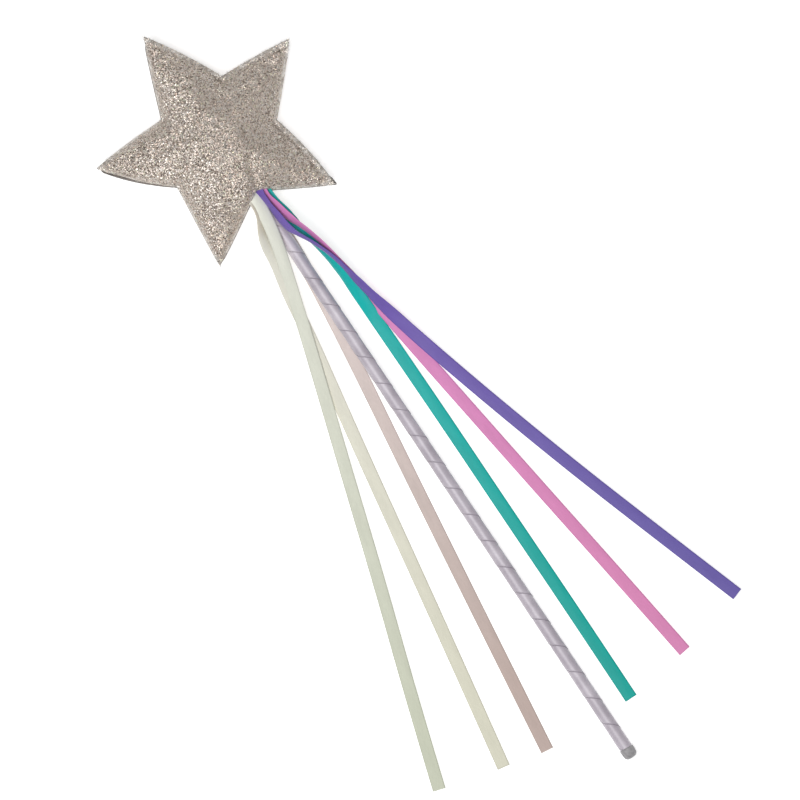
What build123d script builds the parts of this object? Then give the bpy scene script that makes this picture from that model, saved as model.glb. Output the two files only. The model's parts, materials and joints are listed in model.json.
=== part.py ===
from build123d import *
import math
import os

# Child's fairy wand: a padded glitter-fabric star on a ribbon-wrapped dowel, with six satin streamers.
# It lies on a table, star face up. Millimetres. The origin is on the table under the middle of the
# star, +Y runs along the rod to the star's top point and +Z points up from the table.

# --- star -------------------------------------------------------------------------------------
STAR_TIPS = [(-3.3, 68.0), (61.3, 23.6), (38.2, -55.1), (-37.6, -57.2), (-64.0, 23.0)]
STAR_NOTCHES = [(19.7, 27.5), (31.1, -9.2), (1.1, -35.3), (-32.7, -9.1), (-20.1, 25.1)]
STAR_INRADIUS = 29.3          # middle of the star to the line of any edge
STAR_MID_Z = 13.0             # height of the seam above the table
STAR_HALF_HEIGHT = 13.0       # seam to the crown of either face
SEAM_ALLOWANCE = 2.5          # flat cut edge outside the stitching
FABRIC = 0.6                  # glitter fabric with its backing
SEAM_GAP = 0.05               # half the gap between the two layers at the seam
CROWN_POWER = 0.8             # below 1 the padding rises faster from the seam
SECTION_SCALES = [1.0, 0.96, 0.88, 0.76, 0.6, 0.4, 0.2]
TIP_ROUNDING = (0.8, 12.0)    # tip radius at the seam, and what it gains towards the crown
NOTCH_ROUNDING = (1.5, 12.0)  # the same for the notches
FILLING_CLEARANCE = 0.1

# --- mouth, the bulge in the lower notch where the rod and the ribbons come out -------------------
MOUTH_Y = -36.0
MOUTH_LIP_Y = -36.5           # outer edge of the bulge
MOUTH_CUT_Y = -40.0           # the opening runs on between the two lower points
MOUTH_INNER_Y = -26.0
MOUTH_HALF_WIDTH = 12.0
MOUTH_HALF_HEIGHT = 7.5

# --- rod ----------------------------------------------------------------------------------------
DOWEL_RADIUS = 3.0
WRAP_RADIUS = 3.5
FIT_GAP = 0.02                # between pieces of the rod
ROD_END_Y = -402.4
ROD_TOP_Y = 14.0
FOLD_LENGTH = 6.0
FOLD_CAP = 1.3                # folded satin over the dowel's end
FOLD_CHAMFER = 0.9
WRAP_STOP = 0.5               # the wrap ends this short of the filling
GLUE_RADIUS = 6.0
GLUE_Y = 0.0

# --- threads ------------------------------------------------------------------------------------
STITCH_PITCH = 3.2
STITCH_LENGTH = 2.6
THREAD = 0.35
STITCH_OUTSIDE_PADDING = 0.7  # stitch line to the foot of the padding
WHIP_PITCH = 2.4
WHIP_COUNT = 4
WHIP_REACH = 2.0              # how far a whip stitch reaches in from the cut edge

# --- ribbons ------------------------------------------------------------------------------------
# Each route runs from inside the mouth to the free end. All six pass over the same heights at the
# same distances from the mouth, one layer apart, so that a ribbon can swing over its neighbours.
RIBBON_WIDTH = 7.0
RIBBON_THICKNESS = 0.3
LAYER = 0.55
ROUNDING_SHARE = 0.45         # part of the shorter run that each bend takes up

HEIGHTS = [17.0, 16.9, 16.6, 15.9, 12.0, 5.6, 1.3, 0.4, 0.4, 0.4, 0.4]
LOW_HEIGHTS = [8.8, 8.6, 8.1, 7.2, 5.2, 2.6, 0.9, 0.4, 0.4, 0.4, 0.4]

RIBBONS = {
    "ribbon_teal": (HEIGHTS, 0, [
        (4.3, -34.4), (5.2, -43.0), (8.2, -55.4), (10.4, -70.4), (14.0, -90.2), (15.5, -116.5),
        (16.4, -150.8), (16.9, -200.1), (17.0, -260.3), (17.4, -320.5), (17.2, -373.6)]),
    "ribbon_pink": (HEIGHTS, 2, [
        (3.1, -34.4), (4.4, -43.2), (6.6, -56.0), (12.0, -69.9), (17.4, -89.1), (20.8, -115.3),
        (24.9, -149.3), (31.5, -197.9), (39.7, -257.5), (48.2, -316.9), (55.3, -369.2)]),
    "ribbon_purple": (HEIGHTS, 4, [
        (1.6, -34.4), (2.2, -43.7), (4.3, -56.6), (9.9, -70.6), (16.4, -89.5), (21.2, -115.2),
        (29.2, -148.4), (42.4, -195.4), (59.9, -252.9), (78.8, -309.8), (95.7, -359.7)]),
    "ribbon_cream": (HEIGHTS, 1, [
        (-4.3, -34.4), (-5.5, -43.0), (-8.4, -55.3), (-11.3, -70.1), (-14.4, -90.1), (-18.6, -115.9),
        (-24.4, -149.4), (-32.6, -197.8), (-42.1, -257.0), (-51.9, -316.2), (-60.5, -367.3)]),
    "ribbon_sage": (HEIGHTS, 3, [
        (-1.7, -34.4), (-1.9, -43.8), (-3.6, -56.8), (-7.0, -71.4), (-12.6, -90.6), (-20.0, -115.5),
        (-30.1, -148.0), (-44.8, -194.8), (-62.5, -252.2), (-81.1, -309.2), (-96.1, -358.2)]),
    "ribbon_blush": (LOW_HEIGHTS, 0, [
        (0.4, -34.4), (0.6, -43.9), (0.7, -56.9), (0.5, -71.9), (-0.4, -92.0), (-3.2, -118.0),
        (-7.4, -151.8), (-14.0, -200.4), (-21.7, -259.9), (-29.3, -319.5), (-35.9, -372.1)]),
}

os.makedirs("parts", exist_ok=True)


def finish(piece, name):
    """Label a finished piece and write it."""
    piece.part.label = name
    export_step(piece.part, f"parts/{name}.step")


def scaled(points, scale):
    return [(x * scale, y * scale) for x, y in points]


def outline_points(scale):
    """The star's tips and notches in turn. Scaling about the middle moves every edge in evenly."""
    pairs = zip(scaled(STAR_TIPS, scale), scaled(STAR_NOTCHES, scale))
    return [point for pair in pairs for point in pair]


def star_outline(scale, height, roundness=0.0):
    """The star's outline at one height, with rounded notches and tips."""
    size = max(scale, SECTION_SCALES[-1])
    with BuildSketch(Plane.XY.offset(height)) as outline:
        with BuildLine():
            Polyline(*outline_points(scale), close=True)
        make_face()
        notches = outline.vertices().sort_by_distance((0, 0, 0))[:len(STAR_NOTCHES)]
        fillet(notches, size * (NOTCH_ROUNDING[0] + NOTCH_ROUNDING[1] * roundness))
        tips = outline.vertices().sort_by_distance((0, 0, 0))[-len(STAR_TIPS):]
        fillet(tips, size * (TIP_ROUNDING[0] + TIP_ROUNDING[1] * roundness))
    return outline.sketch


def padding_sections(side, inset, gap=SEAM_GAP):
    """Outlines of one half of the padded form, drawn in by inset all over. side is 1 up, -1 down."""
    foot = SEAM_ALLOWANCE + inset
    crown = STAR_HALF_HEIGHT - gap - inset
    sections = []
    for scale in SECTION_SCALES:
        rise = (1 - scale ** 2) ** CROWN_POWER / (1 - SECTION_SCALES[-1] ** 2) ** CROWN_POWER
        height = STAR_MID_Z + side * (gap + crown * rise)
        sections.append(star_outline(scale * (1 - foot / STAR_INRADIUS), height, 1 - scale))
    return sections


def mouth_section(y, grow, side=0):
    """Section of the mouth: the whole ellipse, or only the half above (1) or below (-1) the seam."""
    across = Plane(origin=(0, y, STAR_MID_Z), x_dir=(1, 0, 0), z_dir=(0, -1, 0))
    with BuildSketch(across) as section:
        Ellipse(MOUTH_HALF_WIDTH + grow, MOUTH_HALF_HEIGHT + grow)
        if side:
            reach = 2 * MOUTH_HALF_WIDTH
            with Locations((0, side * (reach + SEAM_GAP))):
                Rectangle(2 * reach, 2 * reach, mode=Mode.INTERSECT)
    return section.sketch


def star_panel(name, side):
    """One face of the star: a padded shell, its flat seam allowance and its half of the mouth."""
    layer_foot = STAR_MID_Z + side * SEAM_GAP
    with BuildPart() as panel:
        loft(padding_sections(side, 0))
        extrude(star_outline(1, layer_foot), amount=side * FABRIC)
        extrude(mouth_section(MOUTH_LIP_Y, FABRIC, side), amount=MOUTH_INNER_Y - MOUTH_LIP_Y,
                dir=(0, 1, 0))
        loft(padding_sections(side, FABRIC), mode=Mode.SUBTRACT)
        extrude(mouth_section(MOUTH_CUT_Y, 0), amount=MOUTH_INNER_Y - MOUTH_CUT_Y, dir=(0, 1, 0),
                mode=Mode.SUBTRACT)
    finish(panel, name)
    return panel


# --- the rod's own axis -----------------------------------------------------------------------
# The handle end rests on the table and the other end is held at the seam, so the rod slopes a little.
rod_foot = Vector(0, ROD_END_Y, WRAP_RADIUS)
rod_at_mouth = Vector(0, MOUTH_Y, STAR_MID_Z)
rod_direction = (rod_at_mouth - rod_foot).normalized()
rod_end_plane = Plane(origin=rod_foot, x_dir=(1, 0, 0), z_dir=rod_direction)


def along_rod(y):
    """Distance along the rod from its handle end to the place where the axis reaches y."""
    return (y - ROD_END_Y) / rod_direction.Y


rod_length = along_rod(ROD_TOP_Y)
wrap_end = along_rod(MOUTH_INNER_Y) - WRAP_STOP


# --- star pieces --------------------------------------------------------------------------------
star_front_panel = star_panel("star_front_panel", 1)
star_back_panel = star_panel("star_back_panel", -1)

with BuildPart() as star_filling:
    for side in (1, -1):
        loft(padding_sections(side, FABRIC + FILLING_CLEARANCE, gap=0))
    with Locations((0, MOUTH_INNER_Y, STAR_MID_Z)):
        Box(2 * (MOUTH_HALF_WIDTH + FABRIC + 1), 2 * STAR_HALF_HEIGHT, 2 * STAR_HALF_HEIGHT,
            align=(Align.CENTER, Align.MAX, Align.CENTER), mode=Mode.SUBTRACT)
    with BuildSketch(rod_end_plane):
        Circle(DOWEL_RADIUS + FILLING_CLEARANCE)
    extrude(amount=rod_length + FILLING_CLEARANCE, mode=Mode.SUBTRACT)
    with Locations(rod_end_plane.offset(along_rod(GLUE_Y)).location):
        Sphere(GLUE_RADIUS + FILLING_CLEARANCE, mode=Mode.SUBTRACT)
finish(star_filling, "star_filling")


def stitch_places(scale, height):
    """A place for each machine stitch along the star's edges, leaving out the mouth."""
    points = outline_points(scale)
    places = []
    for (x0, y0), (x1, y1) in zip(points, points[1:] + points[:1]):
        edge = math.hypot(x1 - x0, y1 - y0)
        angle = math.degrees(math.atan2(y1 - y0, x1 - x0))
        count = int(edge / STITCH_PITCH)
        for number in range(1, count):
            share = number / count
            x = x0 + share * (x1 - x0)
            y = y0 + share * (y1 - y0)
            near_mouth = abs(x) < closing_reach and y < MOUTH_INNER_Y
            if not near_mouth:
                places.append(Location((x, y, height), (0, 0, angle)))
    return places


closing_reach = MOUTH_HALF_WIDTH + FABRIC + WHIP_PITCH * (WHIP_COUNT + 1) + STITCH_PITCH
stitch_scale = 1 - (SEAM_ALLOWANCE - STITCH_OUTSIDE_PADDING) / STAR_INRADIUS
stitch_height = SEAM_GAP + FABRIC + THREAD / 2

for thread_name, thread_side in (("needle_thread", 1), ("bobbin_thread", -1)):
    with BuildPart() as thread:
        with Locations(*stitch_places(stitch_scale, STAR_MID_Z + thread_side * stitch_height)):
            Box(STITCH_LENGTH, THREAD, THREAD)
    finish(thread, thread_name)

# Hand stitches whipped over the cut edges on both sides of the mouth
with BuildPart() as closing_stitches:
    notch = Vector(*STAR_NOTCHES[2])
    for tip_point in (STAR_TIPS[2], STAR_TIPS[3]):
        edge = (Vector(*tip_point) - notch).normalized()
        inward = Vector(-edge.Y, edge.X) if edge.X > 0 else Vector(edge.Y, -edge.X)
        for number in range(WHIP_COUNT):
            start = (MOUTH_HALF_WIDTH + FABRIC + WHIP_PITCH * (number + 1)) / abs(edge.X)
            centre = notch + edge * start
            across = Plane(origin=(centre.X, centre.Y, STAR_MID_Z), x_dir=inward, z_dir=edge)
            inner_height = 2 * (SEAM_GAP + FABRIC)
            with BuildSketch(across):
                with Locations((-THREAD, 0)):
                    Rectangle(WHIP_REACH + THREAD, inner_height + 2 * THREAD,
                              align=(Align.MIN, Align.CENTER))
                Rectangle(WHIP_REACH + THREAD, inner_height,
                          align=(Align.MIN, Align.CENTER), mode=Mode.SUBTRACT)
            extrude(amount=THREAD / 2, both=True)
finish(closing_stitches, "notch_closing_stitches")

# --- rod pieces ---------------------------------------------------------------------------------
with BuildPart() as rod_core:
    with BuildSketch(rod_end_plane.offset(FOLD_CAP)):
        Circle(DOWEL_RADIUS)
    extrude(amount=rod_length - FOLD_CAP)
finish(rod_core, "rod_core")

with BuildPart() as rod_wrap:
    with BuildSketch(rod_end_plane.offset(FOLD_LENGTH)):
        Circle(WRAP_RADIUS)
        Circle(DOWEL_RADIUS + FIT_GAP, mode=Mode.SUBTRACT)
    extrude(amount=wrap_end - FOLD_LENGTH)
finish(rod_wrap, "rod_wrap")

with BuildPart() as rod_end_fold:
    with BuildSketch(rod_end_plane):
        Circle(WRAP_RADIUS)
    extrude(amount=FOLD_LENGTH - FIT_GAP)
    chamfer(rod_end_fold.edges().sort_by(Axis.Y)[0], FOLD_CHAMFER)
    with BuildSketch(rod_end_plane.offset(FOLD_CAP - FIT_GAP)):
        Circle(DOWEL_RADIUS + FIT_GAP)
    extrude(amount=FOLD_LENGTH, mode=Mode.SUBTRACT)
finish(rod_end_fold, "rod_end_fold")

with BuildPart() as glue_bead:
    with Locations(rod_end_plane.offset(along_rod(GLUE_Y)).location):
        Sphere(GLUE_RADIUS)
        Cylinder(DOWEL_RADIUS + FIT_GAP, 2 * GLUE_RADIUS, mode=Mode.SUBTRACT)
finish(glue_bead, "glue_bead")


# --- ribbons ------------------------------------------------------------------------------------
def bend_radii(points):
    """The largest radius that fits each bend of a route."""
    radii = []
    for before, bend, after in zip(points, points[1:], points[2:]):
        arriving = bend - before
        leaving = after - bend
        half_turn = math.radians(arriving.get_angle(leaving)) / 2
        radii.append(ROUNDING_SHARE * min(arriving.length, leaving.length) / math.tan(half_turn))
    return radii


for ribbon_name, (heights, layer, plan) in RIBBONS.items():
    route = [Vector(x, y, z + layer * LAYER) for (x, y), z in zip(plan, heights)]
    radii = bend_radii(route)
    with BuildPart() as ribbon:
        with BuildLine() as path:
            FilletPolyline(*route, radius=radii)
        with BuildSketch(Plane(origin=route[0], x_dir=Vector(0, 0, 1).cross(path.line % 0),
                               z_dir=path.line % 0)):
            Rectangle(RIBBON_WIDTH, RIBBON_THICKNESS)
        sweep(path=path.line)
    length = sum(piece.length for piece in path.edges())
    expected = length * RIBBON_WIDTH * RIBBON_THICKNESS
    print(f"{ribbon_name}: {length:.1f} mm, volume {ribbon.part.volume / expected:.3f} of expected, "
          f"radii {[round(radius) for radius in radii]}")
    finish(ribbon, ribbon_name)
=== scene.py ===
import bisect
import json
import math
import random

import bmesh
import bpy
import numpy as np
from mathutils import Matrix, Vector, noise
from mathutils.geometry import delaunay_2d_cdt


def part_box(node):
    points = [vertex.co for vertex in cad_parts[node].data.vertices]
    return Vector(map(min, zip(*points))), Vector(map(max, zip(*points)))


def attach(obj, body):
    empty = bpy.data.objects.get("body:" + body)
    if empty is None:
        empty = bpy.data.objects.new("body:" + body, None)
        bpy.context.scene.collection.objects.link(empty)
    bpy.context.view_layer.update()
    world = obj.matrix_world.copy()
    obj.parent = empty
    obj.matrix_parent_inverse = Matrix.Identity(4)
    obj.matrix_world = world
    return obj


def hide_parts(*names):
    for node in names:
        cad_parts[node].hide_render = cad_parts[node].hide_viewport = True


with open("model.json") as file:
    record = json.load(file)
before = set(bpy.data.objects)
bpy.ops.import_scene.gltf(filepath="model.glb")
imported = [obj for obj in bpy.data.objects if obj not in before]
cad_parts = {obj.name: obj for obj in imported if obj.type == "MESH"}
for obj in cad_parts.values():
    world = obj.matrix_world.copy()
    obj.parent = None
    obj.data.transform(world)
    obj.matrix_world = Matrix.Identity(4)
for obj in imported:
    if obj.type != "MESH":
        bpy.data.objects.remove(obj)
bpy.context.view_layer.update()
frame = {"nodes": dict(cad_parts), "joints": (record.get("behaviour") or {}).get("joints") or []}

# Child's fairy wand on a table: a padded glitter star on a satin-wrapped rod, with six streamers.
# Metres, in the frame's axes: +Z up, +Y along the rod to the star's top point.
MM = 0.001
scene = bpy.context.scene
random.seed(7)

# --- places taken from the frame ---
rod_low, rod_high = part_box("rod_wrap")
fold_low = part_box("rod_end_fold")[0]
star_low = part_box("star_back_panel")[0]
star_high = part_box("star_front_panel")[1]
WRAP_RADIUS = (rod_high.x - rod_low.x) / 2
STAR_MID_Z = (star_low.z + star_high.z) / 2
PIVOT = Vector(frame["joints"][0]["pos_m"])
ROD_FOOT = Vector((0, fold_low.y, WRAP_RADIUS))
ROD_AXIS = (Vector((0, PIVOT.y, STAR_MID_Z)) - ROD_FOOT).normalized()

# --- the streamers' routes, in millimetres ---
# part.py's points, with the first 60 mm and the cut ends moved a little to follow the photo.
HEIGHTS = [17.0, 16.9, 16.6, 15.9, 12.0, 5.6, 1.3, 0.4, 0.4, 0.4, 0.4]
PURPLE_HEIGHTS = [17.0, 16.9, 16.6, 16.3, 15.3, 12.0, 5.6, 1.3, 0.4, 0.4, 0.4, 0.4]
LOW_HEIGHTS = [8.8, 8.6, 8.1, 7.2, 5.2, 2.6, 0.9, 0.4, 0.4, 0.4, 0.4]
LAYER = 0.55
RIBBON_WIDTH = 7.0 * MM
RIBBON_THICKNESS = 0.22 * MM
ROUTES = {
    "teal": (HEIGHTS, 0, [
        (4.3, -34.4), (5.2, -43.0), (7.5, -55.4), (10.4, -70.4), (15.2, -90.2), (16.0, -116.5),
        (16.4, -150.8), (16.9, -200.1), (17.0, -260.3), (17.4, -320.5), (17.2, -375.6)]),
    "pink": (HEIGHTS, 2, [
        (3.1, -34.4), (4.6, -43.2), (7.2, -56.0), (12.9, -70.2), (17.1, -89.1), (20.8, -115.3),
        (24.9, -149.3), (31.5, -197.9), (39.7, -257.5), (48.2, -316.9), (55.4, -370.4)]),
    "purple": (PURPLE_HEIGHTS, 4, [
        (1.6, -34.4), (2.4, -43.7), (3.3, -55.5), (4.5, -63.7), (10.9, -75.0), (16.6, -89.5),
        (21.2, -115.2), (29.2, -148.4), (42.4, -195.4), (59.9, -252.9), (78.8, -309.8), (96.0, -360.6)]),
    "cream": (HEIGHTS, 1, [
        (-4.6, -34.4), (-3.6, -46.5), (-11.0, -60.0), (-11.6, -74.0), (-15.6, -92.0), (-18.6, -115.9),
        (-24.4, -149.4), (-32.6, -197.8), (-42.1, -257.0), (-51.9, -316.2), (-60.7, -368.4)]),
    "sage": (HEIGHTS, 3, [
        (-1.7, -34.4), (-1.9, -43.8), (-3.6, -56.8), (-7.0, -71.4), (-12.6, -90.6), (-20.0, -115.5),
        (-30.1, -148.0), (-44.8, -194.8), (-62.5, -252.2), (-81.1, -309.2), (-96.4, -359.2)]),
    "blush": (LOW_HEIGHTS, 0, [
        (0.8, -34.4), (1.4, -43.9), (1.5, -56.9), (0.9, -71.9), (-0.4, -92.0), (-3.2, -118.0),
        (-7.4, -151.8), (-14.0, -200.4), (-21.7, -259.9), (-29.3, -319.5), (-36.1, -373.9)]),
}
# Roll of each streamer about its own line: (distance from its sewn end in mm, degrees). Near the star
# they leave the seam bunched and partly on edge, and flatten as they reach the table.
ROLLS = {
    "teal": [(0, 16), (12, 40), (20, 30), (25, 38), (30, 50), (36, 62), (44, 60), (52, 50), (63, 40),
             (83, 20), (105, 0)],
    "pink": [(0, 28), (8, 62), (16, 53), (23, 57), (30, 69), (38, 71), (55, 70), (72, 62), (84, 42),
             (100, 14), (130, 0)],
    "purple": [(0, 34), (7, 64), (12, 68), (20, 58), (28, 60), (34, 75), (40, 78), (52, 77), (62, 72),
               (80, 54), (110, 16), (140, 0)],
    "cream": [(0, -30), (4, -56), (9, -62), (13, -60), (18, -50), (23, -43), (28, -34), (36, -22),
              (50, -10), (80, 0)],
    "sage": [(0, -10), (25, -6), (60, 4), (100, 0)],
    "blush": [(0, 0)],
}
# Where the top of a streamer takes its dull underside's tint and gloss, near its sewn end: the tint there is
# painted shade of the tilted ribbon.
PAINTED_ROOT_SHADES = {"cream": [(3, 0), (9, 1.0), (19, 0.9), (28, 0)]}
# How far the middle of each streamer's width stands proud of its edges, in millimetres.
CROWNS = {
    "teal": [(0, 0.9), (30, 0.8), (60, 1.0), (110, 0.12)],
    "pink": [(0, 0.9), (25, 0.7), (36, 0.8), (58, 0.9), (75, 0.5), (110, 0.12)],
    "purple": [(0, 0.8), (25, 0.6), (60, 0.7), (110, 0.12)],
    "cream": [(0, 0.9), (20, 0.7), (90, 0.12)],
    "sage": [(0, 0.9), (25, 0.6), (90, 0.12)],
    "blush": [(0, 0.4), (90, 0.12)],
}
# Extra height where a streamer stands on edge, so that its lower edge clears the one beneath it.
LIFTS = {
    "pink": [0, 0.8, 2.2, 2.6, 2.6, 1.0, 0, 0, 0, 0, 0],
    "purple": [0, 0.6, 1.6, 2.0, 2.8, 3.2, 2.4, 0.4, 0, 0, 0, 0],
}


# --- small helpers ---
def between(table, x):
    """Value at x in a table of (x, value) pairs, eased between neighbours and level past the ends."""
    if x <= table[0][0]:
        return table[0][1]
    for (x0, v0), (x1, v1) in zip(table, table[1:]):
        if x <= x1:
            share = (x - x0) / (x1 - x0)
            return v0 + (v1 - v0) * share * share * (3 - 2 * share)
    return table[-1][1]


def hash_of(name):
    """A steady number for a name, to set its pieces of noise apart."""
    return sum(ord(letter) * (place + 1) for place, letter in enumerate(name)) % 97


def in_turn(points):
    """Each point with the next one, round a closed loop."""
    return zip(points, points[1:] + points[:1])


def unit(value):
    """The value, kept between 0 and 1."""
    return min(max(value, 0), 1)


def add_object(name, data):
    """A new object, linked to the scene."""
    made = bpy.data.objects.new(name, data)
    scene.collection.objects.link(made)
    return made


def mesh_of(name, work):
    """A mesh made from a bmesh, which is freed."""
    made = bpy.data.meshes.new(name)
    work.to_mesh(made)
    work.free()
    return made


def new_object(name, mesh, material, body):
    """A finished piece: linked, smooth, with its material, riding on its body."""
    piece = add_object(name, mesh)
    mesh.materials.append(material)
    walls = mesh.attributes.get("wall")
    for number, polygon in enumerate(mesh.polygons):
        polygon.use_smooth = not (walls and walls.data[number].value)
    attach(piece, body)
    return piece


class Graph:
    """Shorthand for building one node material."""

    def __init__(self, name, **inputs):
        self.material = bpy.data.materials.new(name)
        self.material.use_nodes = True
        self.tree = self.material.node_tree
        self.shader = self.tree.nodes["Principled BSDF"]
        self.surface(**inputs)

    def node(self, kind, settings=(), **inputs):
        made = self.tree.nodes.new("ShaderNode" + kind)
        for key, value in dict(settings).items():
            setattr(made, key, value)
        for socket, value in inputs.items():
            self.put(made.inputs[socket.replace("_", " ")], value)
        return made

    def place(self):
        return self.node("TexCoord").outputs["Object"]

    def noise(self, scale, vector=None, **inputs):
        """Noise over the piece's own space, or over the vector that is given."""
        if vector is None:
            vector = self.place()
        return self.node("TexNoise", Vector=vector, Scale=scale, **inputs).outputs["Fac"]

    def attribute(self, name):
        return self.node("Attribute", {"attribute_name": name}).outputs["Fac"]

    def put(self, target, value):
        if isinstance(value, bpy.types.NodeSocket):
            self.tree.links.new(value, target)
        else:
            target.default_value = value

    def math(self, operation, *values, kind="Math"):
        made = self.node(kind, {"operation": operation})
        for socket, value in zip(made.inputs, values):
            self.put(socket, value)
        return made.outputs[0]

    def cells(self, vector, scale):
        """Voronoi cells: the random colour of each, and that colour's channels."""
        colour = self.node("TexVoronoi", Vector=vector, Scale=scale).outputs["Color"]
        return colour, self.node("SeparateColor", Color=colour).outputs

    def ramp(self, factor, stops):
        made = self.node("ValToRGB", Fac=factor)
        elements = made.color_ramp.elements
        while len(elements) < len(stops):
            elements.new(0.5)
        for element, (position, colour) in zip(elements, stops):
            element.position = position
            element.color = (*colour, 1)
        return made.outputs[0]

    def mix(self, factor, a, b, blend="MIX"):
        made = self.node("Mix", {"data_type": "RGBA", "blend_type": blend}, Factor=factor)
        for number, colour in ((6, a), (7, b)):
            linked = isinstance(colour, bpy.types.NodeSocket)
            self.put(made.inputs[number], colour if linked else (*colour, 1))
        return made.outputs[2]

    def surface(self, **inputs):
        for socket, value in inputs.items():
            self.put(self.shader.inputs[socket.replace("_", " ")], value)

    def grained(self, grain, stops, relief=0.0):
        """Colour from one texture, and relief from it too, this many millimetres high."""
        self.surface(Base_Color=self.ramp(grain, stops))
        if relief:
            self.surface(Normal=self.bump(grain, relief * MM))
        return self.material

    def bump(self, height, distance, strength=1.0, normal=None):
        made = self.node("Bump", Height=height, Distance=distance, Strength=strength)
        if normal is not None:
            self.put(made.inputs["Normal"], normal)
        return made.outputs[0]


def srgb(red, green, blue):
    """Linear colour from 0 to 255 display values."""
    def linear(value):
        value /= 255
        return value / 12.92 if value <= 0.04045 else ((value + 0.055) / 1.055) ** 2.4
    return tuple(linear(value) for value in (red, green, blue))


def noisy(name, scale, dark, light, detail=2.0, distortion=0.0, relief=0.0, **inputs):
    """A material whose colour and relief follow noise in the piece's own space."""
    graph = Graph(name, **inputs)
    grain = graph.noise(scale, Detail=detail, Distortion=distortion)
    return graph.grained(grain, [(0.3, dark), (0.7, light)], relief)


# --- camera ---
# Straight down from high up, rolled so that the wand lies across the picture's diagonal.
VIEW_MIDDLE = Vector((2.7, -172.4, 0)) * MM
VIEW_WIDTH = 432 * MM
VIEW_ROLL = math.radians(-33.7)
CAMERA_HEIGHT = 6.0

camera = add_object("camera", bpy.data.cameras.new("camera"))
camera.location = VIEW_MIDDLE + Vector((0, 0, CAMERA_HEIGHT))
camera.rotation_euler = (0, 0, VIEW_ROLL)
camera.data.lens = camera.data.sensor_width * CAMERA_HEIGHT / VIEW_WIDTH
scene.camera = camera


# --- satin ---
def satin(name, far, near, gloss=0.42):
    """Satin ribbon: long floats, faint cross ribs, firm selvedges. far and near are end colours."""
    graph = Graph(name, Roughness=gloss, Sheen_Weight=0.12, Sheen_Roughness=0.4, Specular_IOR_Level=0.18,
                  Anisotropic=0.4)
    along = graph.attribute("along")
    across = graph.attribute("across")
    place = graph.node("CombineXYZ", X=across, Y=along, Z=0.0).outputs[0]
    floats = graph.node("Mapping", Vector=place, Scale=(26.0, 320.0, 1.0)).outputs[0]
    fine = graph.noise(1.0, floats, Detail=3.0, Roughness=0.6)
    ribs = graph.math("SINE", graph.math("MULTIPLY", along, 2 * math.pi / (0.55 * MM)))
    edge = graph.math("ABSOLUTE", across)
    selvedge = graph.math("GREATER_THAN", edge, 0.93)
    patches = graph.node("Mapping", Vector=place, Scale=(0.8, 45.0, 1.0)).outputs[0]
    soft = graph.noise(1.0, patches, Detail=2.0)
    fade = graph.math("MULTIPLY", along, 1 / 0.30)
    base = graph.ramp(fade, [(0.0, near), (0.45, tuple((a + b) / 2 for a, b in zip(near, far))), (1.0, far)])
    shade = graph.ramp(fine, [(0.25, (0.90, 0.90, 0.90)), (0.75, (1.06, 1.06, 1.06))])
    cloudy = graph.ramp(soft, [(0.3, (0.95, 0.95, 0.95)), (0.7, (1.03, 1.03, 1.03))])
    colour = graph.mix(1.0, graph.mix(1.0, base, shade, "MULTIPLY"), cloudy, "MULTIPLY")
    colour = graph.mix(graph.math("MULTIPLY", selvedge, 0.35), colour, (0.9, 0.9, 0.9), "MULTIPLY")
    # The underside's dull tint. On the cream streamer's top near its root, the same tint is painted shade.
    underside_and_painted_shade = graph.attribute("underside_and_painted_shade")
    colour = graph.mix(underside_and_painted_shade, colour, (0.88, 0.83, 0.76), "MULTIPLY")
    relief = graph.math("ADD", graph.math("MULTIPLY", fine, 0.6),
                        graph.math("MULTIPLY", ribs, graph.math("MULTIPLY_ADD", selvedge, 0.3, 0.06)))
    graph.surface(Base_Color=colour, Roughness=graph.math("MULTIPLY_ADD", underside_and_painted_shade, 0.25, gloss),
                  Normal=graph.bump(relief, 0.03 * MM, 0.6))
    return graph.material


# --- streamers ---
ACROSS_STEPS = 10
ALONG_STEP = 1.0 * MM
ROUTE_SMOOTHNESS = 32
WAVER = 0.25 * MM  # slow rise and fall along the ribbon, and how long its waves are
WAVER_LENGTH = 28 * MM
RIPPLE = 0.06 * MM  # small unevenness of the cloth
RIPPLE_LENGTH = 9 * MM
RAGGED_CUT = 0.12 * MM


def route_line(name, points):
    """Points read from a NURBS curve whose control points are the route."""
    curve = bpy.data.curves.new(name, "CURVE")
    curve.dimensions = "3D"
    curve.resolution_u = ROUTE_SMOOTHNESS
    spline = curve.splines.new("NURBS")
    spline.points.add(len(points) - 1)
    for control, point in zip(spline.points, points):
        control.co = (*point, 1)
    spline.order_u = 3
    spline.use_endpoint_u = True
    holder = bpy.data.objects.new(name, curve)
    line = bpy.data.meshes.new_from_object(holder)
    places = [vertex.co.copy() for vertex in line.vertices]
    bpy.data.objects.remove(holder)
    bpy.data.meshes.remove(line)
    return places


def evenly(points, step):
    """The same line with points a fixed step apart, and its end point kept."""
    spaced = [points[0]]
    left = step
    for start, end in zip(points, points[1:]):
        run = (end - start).length
        while run > left:
            start = start + (end - start) * (left / run)
            spaced.append(start)
            run -= left
            left = step
        left -= run
    spaced.append(points[-1])
    return spaced


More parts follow.
